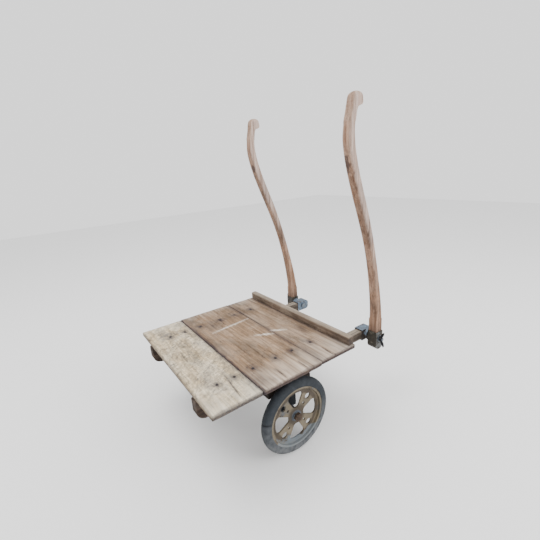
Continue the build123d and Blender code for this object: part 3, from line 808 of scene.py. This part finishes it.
def deck_board(name, finish, seed, cracks=(), scrapes=(), seam_grime_and_shade=(0.0, 0.0),
               smudges=(), stop_shadow_y=None):
    """One deck board with all its marks."""
    low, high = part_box(name)
    points, faces, rough, top = worn_board(low, high, seed)
    stain = nail_stains(points, top, seed + 7)
    stain = np.maximum(stain, open_cracks(points, top, cracks, seed + 9))
    scrape = torn_scrapes(points, scrapes, seed + 11)
    stain = np.maximum(stain, board_dirt(points, low, high, rough, seam_grime_and_shade, stop_shadow_y))
    stain = np.maximum(stain, smudged(points, smudges, seed + 15))

    end_gap = np.minimum(high.x - points[:, 0] + 0.02, points[:, 0] - low.x + 0.09)
    uneven = cloud(points * np.array([1, 4, 1]), 9.0, seed + 13)
    bleach = fade(end_gap + 0.05 * uneven, 0.02, 0.15)
    edge_gap = np.minimum(points[:, 1] - low.y, high.y - points[:, 1])
    # the seams get dirt and painted shade, standing in for the dark gaps between boards
    seam_dirt_and_shade = fade(edge_gap * (1 + 0.8 * rough), 0.0012, 0.0055)
    side = fade(points[:, 2] - high.z, -0.0048, -0.0022)
    marks = {
        "stain": np.maximum(stain, 0.55 * seam_dirt_and_shade * (1 - side)),
        "scrape": scrape,
        "bleach": 0.8 * bleach * (1 - side),
        "worn": side * (0.85 + 0.3 * rough),
    }
    make_piece(f"worn_{name}", points, faces, finish, "truck", name, marks)


# %% [markdown]
# Now the three boards.  A crack or a scrape is given by its two ends and its width, and a
# smudge by its middle and its spread, all as places on the deck.

# %% The three deck boards
deck_board(
    "board_front", front_board_finish, 1,
    cracks=[((0.275, -0.262), (0.155, -0.248), 0.003),
            ((-0.05, -0.30), (0.02, -0.303), 0.0026)],
    seam_grime_and_shade=(0.0, 0.9),
    smudges=((0.16, -0.30, 0.030), (-0.24, -0.30, 0.022)),
)
deck_board(
    "board_middle", middle_board_finish, 2,
    cracks=[((0.292, -0.12), (0.225, -0.118), 0.003),
            ((0.292, -0.045), (0.24, -0.043), 0.0026),
            ((-0.13, -0.09), (-0.18, -0.086), 0.0026)],
    scrapes=[((-0.10, -0.155), (-0.115, 0.0), 0.008), ((0.02, -0.05), (0.05, 0.0), 0.010)],
    seam_grime_and_shade=(1.0, 0.75),
    smudges=((-0.15, -0.13, 0.030), (0.25, -0.19, 0.040), (0.29, 0.0, 0.022)),
)
deck_board(
    "board_rear", rear_board_finish, 3,
    cracks=[((0.291, 0.06), (0.235, 0.064), 0.0028)],
    scrapes=[((0.03, 0.012), (0.06, 0.055), 0.009)],
    seam_grime_and_shade=(0.75, 0.0),
    smudges=((0.285, 0.155, 0.060), (0.10, 0.10, 0.025)),
    # painted shadow along the foot of the stop
    stop_shadow_y=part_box("cleat")[0].y,
)

# %% [markdown]
# ## The back stop, the rails and the bolster
# The stop along the back edge is worn round along its top.  The rails are darker, with
# their lower arms bleached where the weather reaches them.  These pieces have bores and
# steps, so instead of a plain grid their own CAD mesh is wrapped in a fresh even mesh
# (a voxel remesh), and the new points are then moved like those of the boards.

# %% Wrap and relax a shaped piece


def wrapped(node, voxel):
    """Points and faces of an even mesh wrapped round a CAD node."""
    copy = bpy.data.objects.new("wrap", nodes[node].data.copy())
    bpy.context.scene.collection.objects.link(copy)
    wrap = copy.modifiers.new("wrap", "REMESH")
    wrap.mode = "VOXEL"
    wrap.voxel_size = voxel
    graph = bpy.context.evaluated_depsgraph_get()
    mesh = bpy.data.meshes.new_from_object(copy.evaluated_get(graph))
    points = np.array([v.co[:] for v in mesh.vertices])
    normals = np.array([v.normal[:] for v in mesh.vertices])
    faces = [tuple(p.vertices) for p in mesh.polygons]
    links = np.array([e.vertices[:] for e in mesh.edges])
    bpy.data.objects.remove(copy)
    bpy.data.meshes.remove(mesh)
    return points, normals, faces, links


def relax(points, links, rounds, amount=0.5):
    """Move each point part of the way to the middle of its neighbours."""
    for _ in range(rounds):
        total, count = np.zeros_like(points), np.zeros(len(points))
        for a, b in ((0, 1), (1, 0)):
            np.add.at(total, links[:, a], points[links[:, b]])
            np.add.at(count, links[:, a], 1)
        points = points + amount * (total / count[:, None] - points)
    return points


# %% [markdown]
# Relaxing the wrapped mesh moves points most where an edge was sharp.  That distance then
# tells where the edges are, which is also where wood is dented and worn.

# %% A worn copy of a shaped piece
GRIP_ROUNDS = 14


def worn_timber(node, body, finish, voxel, rounds, seed, dents, marks=None,
                smooth_zone=None):
    """Wrap, relax and dent one timber node, and hand it over with its marks."""
    low, high = (np.array(corner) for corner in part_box(node))
    start, normals, faces, links = wrapped(node, voxel)
    points = relax(start, links, rounds)
    if smooth_zone:
        share = smooth_zone(points)[:, None]
        points = points + share * (relax(points, links, GRIP_ROUNDS) - points)
    edge = np.clip(np.linalg.norm(points - start, axis=1) / (0.5 * voxel), 0, 1)
    rough = cloud(points, 30.0, seed)
    points = points - normals * (dents * (0.5 + 0.5 * rough) * (0.35 + edge))[:, None]
    points = np.minimum(np.maximum(points, low), high)
    # on the handles the worn tint is light, so it also paints a highlight along their edges
    values = {"worn": 0.7 * edge * (0.6 + 0.6 * rough)}
    values.update(marks(points, normals) if marks else {})
    make_piece(f"worn_{node}", points, faces, finish, body, node, values)


# %% [markdown]
# The faces that look up are bleached most, and the stop's right end is grimy.  These
# marks come from the way each point faces and from its distance to the end.

# %% The stop, the bolster and the rails
deck_rear_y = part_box("board_rear")[1].y


def rail_marks(points, normals):
    """Arms behind the deck are bleached on top; their sides only a little."""
    behind = fade(deck_rear_y - points[:, 1], -0.012, 0.002)
    upward = np.clip(normals[:, 2], 0, 1)
    return {"bleach": behind * (0.12 + 0.55 * upward)}


def cleat_marks(points, normals):
    """The top of the stop is rubbed lighter and its right end is grimy."""
    upward = np.clip(normals[:, 2], 0, 1)
    end_gap = points[:, 0].max() - points[:, 0]
    end_face = 0.9 * fade(end_gap, 0.0008, 0.003)
    towards_end = 0.6 * fade(end_gap, 0.0, 0.12) * (1 - upward)
    return {
        "bleach": 0.62 * upward * (0.7 + 0.5 * cloud(points, 14.0, 31)),
        "stain": np.maximum(end_face, towards_end) * (0.85 + 0.5 * cloud(points, 30.0, 32)),
    }


worn_timber("cleat", "truck", cleat_finish,
            voxel=0.0022, rounds=2, seed=5, dents=0.0009, marks=cleat_marks)
worn_timber("bolster", "truck", bolster_shaded_finish,
            voxel=0.004, rounds=1, seed=6, dents=0.0008)
for side in ("left", "right"):
    worn_timber(f"rail_{side}", "truck", rail_finish,
                voxel=0.0025, rounds=1, seed=8, dents=0.0007, marks=rail_marks)

# %% [markdown]
# ## The handles
# Each handle is one bent ash bar, sawn square, with its corners planed off between the
# foot and the grip.  Years of hands have polished the grip and left dark marks at the
# bend.  The planed corners are narrow, so the bar is wrapped with a finer mesh and relaxed
# only once.  Only the grip is relaxed further, which rounds it.

# %% Handles
MARK_HEIGHT = 0.77  # the dark mark, as a share of the way from pivot to top
HANDLED_HEIGHT = 0.60
washer_low, washer_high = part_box("pivot_washer_right")
pivot_z = (washer_low.z + washer_high.z) / 2
handle_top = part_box("handle_right")[1].z
mark_z = pivot_z + MARK_HEIGHT * (handle_top - pivot_z)


def handle_marks(points, normals):
    """Silvery sides, a dark mark on the front, dirt left by hands and a soiled foot."""
    grip = fade(handle_top - points[:, 2], 0.10, 0.28)
    foot = fade(points[:, 2] - pivot_z, 0.03, 0.07)
    height = np.clip((points[:, 2] - pivot_z) / (handle_top - pivot_z), 0, 1)
    forward = np.clip(-normals[:, 1], 0, 1)
    middle_x = (points[:, 0].min() + points[:, 0].max()) / 2
    spot = np.hypot(points[:, 0] - middle_x, 0.6 * (points[:, 2] - mark_z))
    spot = spot * (1 + 0.8 * cloud(points, 80.0, 17))
    bare = np.abs(normals[:, 0]) * np.clip(1.4 * height - 0.30, 0, 0.52)
    grime_and_shade = 0.55 + 0.9 * cloud(points * np.array([1, 1, 0.3]), 70.0, 18)
    handled = fade(np.abs(height - HANDLED_HEIGHT), 0.06, 0.24) * grime_and_shade
    dark = np.maximum(0.30 * forward * handled, 0.6 * foot)
    return {
        "bleach": np.clip(bare + 0.10 * grip, 0, 1),
        "stain": np.maximum(0.95 * forward * fade(spot, 0.008, 0.013), dark),
    }


def grip_zone(points):
    """The grip above the bend has been rubbed smooth."""
    return fade(handle_top - points[:, 2], 0.085, 0.125)


for side in ("left", "right"):
    worn_timber(f"handle_{side}", f"handle_{side}", handle_finish,
                voxel=0.0018, rounds=1, seed=12, dents=0.0005, marks=handle_marks,
                smooth_zone=grip_zone)
print("handle pivot", round(pivot_z, 4), "top", round(handle_top, 4), "mark", round(mark_z, 4))

# %% [markdown]
# ## The tyres
# Each tyre is a solid band of rubber held between the rim's flanges, cut to length and
# spliced.  It is spun from one section, ring after ring, so that the splice can be a real
# notch across the tread, and the crown can wear a little out of true.

# %% The section of a tyre
RINGS = 360
CROWN_POINTS = 12
SIDE_POINTS = 4
FOOT_INSET = 0.0047  # the foot is narrower than the tyre, to sit between the flanges
FOOT_DEPTH = 0.0298  # this and the next two are measured inwards from the crown
FLANGE_DEPTH = 0.0258
SHOULDER_DEPTH = 0.0125


def tyre_section(radius, half):
    """The outline of the rubber, as places across the tyre and away from the axle."""
    foot_half, foot_radius = half - FOOT_INSET, radius - FOOT_DEPTH
    flange_radius, shoulder_radius = radius - FLANGE_DEPTH, radius - SHOULDER_DEPTH
    crown_rise = radius - shoulder_radius
    rise = (shoulder_radius - flange_radius) / SIDE_POINTS
    section = [(-foot_half, foot_radius), (foot_half, foot_radius), (foot_half, flange_radius)]
    section += [(half, flange_radius + k * rise) for k in range(SIDE_POINTS)]
    for k in range(CROWN_POINTS + 1):
        turn = math.pi * k / CROWN_POINTS
        section.append((half * math.cos(turn), shoulder_radius + crown_rise * math.sin(turn)))
    section += [(-half, flange_radius + k * rise) for k in reversed(range(SIDE_POINTS))]
    section.append((-foot_half, flange_radius))
    return np.array(section)


# %% [markdown]
# The section is spun round the axle, and each ring is joined to the next.  The rubber then
# sinks a little, by noise at the crown and as a narrow notch at the splice.

# %% Spin and wear the tyres
SPLICE_DEPTH = 0.0022
CROWN_WEAR = 0.0005
SPLICE_INNER, SPLICE_OUTER = 0.45, 1.35  # degrees either side of the splice
SPLICE_WANDER = 2.2  # degrees


def spun(section, middle):
    """Points and faces of a section spun round the axle."""
    count = len(section)
    angles = np.radians(np.arange(RINGS) * 360 / RINGS)
    points = np.array([
        (middle.x + x, middle.y + r * math.cos(a), middle.z + r * math.sin(a))
        for a in angles for x, r in section
    ])
    faces = []
    for ring in range(RINGS):
        here, beyond = ring * count, (ring + 1) % RINGS * count
        for k in range(count):
            after = (k + 1) % count
            faces.append((here + k, here + after, beyond + after, beyond + k))
    return points, faces


def tyre(side, splice_degrees, seed):
    """One worn tyre on its wheel."""
    low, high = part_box(f"tyre_{side}")
    middle = (low + high) / 2
    radius, half = (high.z - low.z) / 2, (high.x - low.x) / 2
    flange_radius = radius - FLANGE_DEPTH
    points, faces = spun(tyre_section(radius, half), middle)
    away = points - np.array(middle)
    reach = np.hypot(away[:, 1], away[:, 2])
    outer = np.clip((reach - flange_radius) / (radius - flange_radius), 0, 1)
    turned = np.degrees(np.arctan2(away[:, 2], away[:, 1])) - splice_degrees
    wander = SPLICE_WANDER * cloud(points, 45.0, seed)
    gap = np.abs((turned + wander + 180) % 360 - 180)
    splice = fade(gap, SPLICE_INNER, SPLICE_OUTER) * np.clip(3 * outer, 0, 1)
    crown = outer * CROWN_WEAR * (0.5 + 0.5 * cloud(points, 28.0, seed + 1))
    inward = np.stack([0.35 * away[:, 0] / half, away[:, 1] / reach, away[:, 2] / reach], 1)
    points = points - inward * (SPLICE_DEPTH * splice + crown)[:, None]
    downward = np.clip(0.35 - away[:, 2] / radius, 0, 1)
    marks = {"stain": splice, "dust": 0.06 + 0.72 * downward}
    make_piece(f"old_tyre_{side}", points, faces, rubber_finish, f"wheel_{side}",
               f"tyre_{side}", marks)


tyre("right", 165, 21)
tyre("left", 300, 24)

# %% [markdown]
# ## The metal pieces
# Wheels, axle parts and pivots keep their CAD meshes, because they were turned, cast or
# pressed to shape.  They only need their finishes, and the larger ones a very small bevel,
# so that their edges catch the light as real metal edges do.

# %% Finish the metal pieces
metal_finishes = {
    "axle": rust_finish, "axle_nut": rust_finish, "axle_spacer": steel_finish,
    "axle_washer": steel_finish, "cleat_screws": rust_finish,
    "deck_nails": nail_finish, "hanger": hanger_finish, "hanger_screws": rust_finish,
    "hinge_boss": cap_finish, "friction_disc": black_finish,
    "pivot_bolt": steel_finish, "pivot_washer": steel_finish, "rail_cap": cap_finish,
    "shoe": shoe_finish, "wheel": wheel_finish,
    "wheel_bush": steel_finish, "wing_nut": black_finish,
}
edge_radius = {
    "wheel": 0.0007, "rail_cap": 0.0012, "shoe": 0.0009, "hanger": 0.0006,
    "wing_nut": 0.0006, "axle_nut": 0.0007, "pivot_bolt": 0.0006,
    "hinge_boss": 0.0012, "friction_disc": 0.0006,
}
SHARP_EDGE = math.radians(35)
finished = 0
for name, node in nodes.items():
    kind = name.removesuffix("_left").removesuffix("_right")
    if kind not in metal_finishes:
        continue
    node.data.materials.clear()
    node.data.materials.append(metal_finishes[kind])
    if kind in edge_radius:
        bevel = node.modifiers.new("worn edge", "BEVEL")
        bevel.width = edge_radius[kind]
        bevel.segments = 2
        bevel.limit_method = "ANGLE"
        bevel.angle_limit = SHARP_EDGE
        bevel.harden_normals = False
    finished += 1
print("metal pieces finished:", finished)

# %% [markdown]
# ## The floor
# The truck stands on a plain pale floor, one large flat face.

# %% Floor
FLOOR_HALF = 6.0
floor_corners = [
    (x * FLOOR_HALF, y * FLOOR_HALF, 0) for x, y in ((-1, -1), (1, -1), (1, 1), (-1, 1))
]
floor_mesh = bpy.data.meshes.new("floor")
floor_mesh.from_pydata(floor_corners, [], [(0, 1, 2, 3)])
floor = bpy.data.objects.new("floor", floor_mesh)
bpy.context.scene.collection.objects.link(floor)
floor_finish, _, floor_shader = start_finish("pale floor")
floor_shader.inputs["Base Color"].default_value = (0.86, 0.86, 0.86, 1)
floor_shader.inputs["Roughness"].default_value = 0.9
floor_mesh.materials.append(floor_finish)
print("floor:", 2 * FLOOR_HALF, "m square")

# %% [markdown]
# ## The light
# A light tent gives even, soft light from all round, which is the world's job here.  Two
# square lamps give the pieces a little shape: one above and to the front, and one from the
# right and behind.

# %% Light
world = bpy.data.worlds.new("studio")
world.use_nodes = True
world.node_tree.nodes["Background"].inputs["Color"].default_value = (1, 1, 1, 1)
world.node_tree.nodes["Background"].inputs["Strength"].default_value = 1.5
bpy.context.scene.world = world


def lamp(name, where, target, size, power):
    """A square soft light at a place, turned to face a target."""
    data = bpy.data.lights.new(name, "AREA")
    data.size = size
    data.energy = power
    made = bpy.data.objects.new(name, data)
    bpy.context.scene.collection.objects.link(made)
    made.location = where
    made.rotation_euler = (Vector(target) - Vector(where)).to_track_quat("-Z", "Y").to_euler()
    print("lamp", name, "power", power)


lamp("overhead", where=(-0.5, -0.9, 3.0), target=(0, 0, 0.3), size=1.8, power=60)
lamp("right side", where=(2.6, 1.4, 1.7), target=(0, 0, 0.5), size=1.6, power=60)

# %% [markdown]
# ## The camera
# The camera looks down on the deck from the front right with a wide lens, and it leans
# slightly to one side.  It is given by its place, the way it looks and its lean, which is
# easier to follow than three turning angles.

# %% Camera
LEAN_DEGREES = 4.03
camera_data = bpy.data.cameras.new("camera")
camera_data.sensor_width = 36.0
camera_data.lens = 22.42
camera_data.clip_start = 0.05
camera = bpy.data.objects.new("camera", camera_data)
bpy.context.scene.collection.objects.link(camera)
camera_place = Vector((0.9327, -0.5984, 0.8587))
look = Vector((-0.7865, 0.5419, -0.2962)).normalized()
lean = Matrix.Rotation(math.radians(LEAN_DEGREES), 4, look)
level = look.to_track_quat("-Z", "Y").to_matrix().to_4x4()
camera.matrix_world = Matrix.Translation(camera_place) @ lean @ level
bpy.context.scene.camera = camera
print("camera at", [round(v, 3) for v in camera_place])
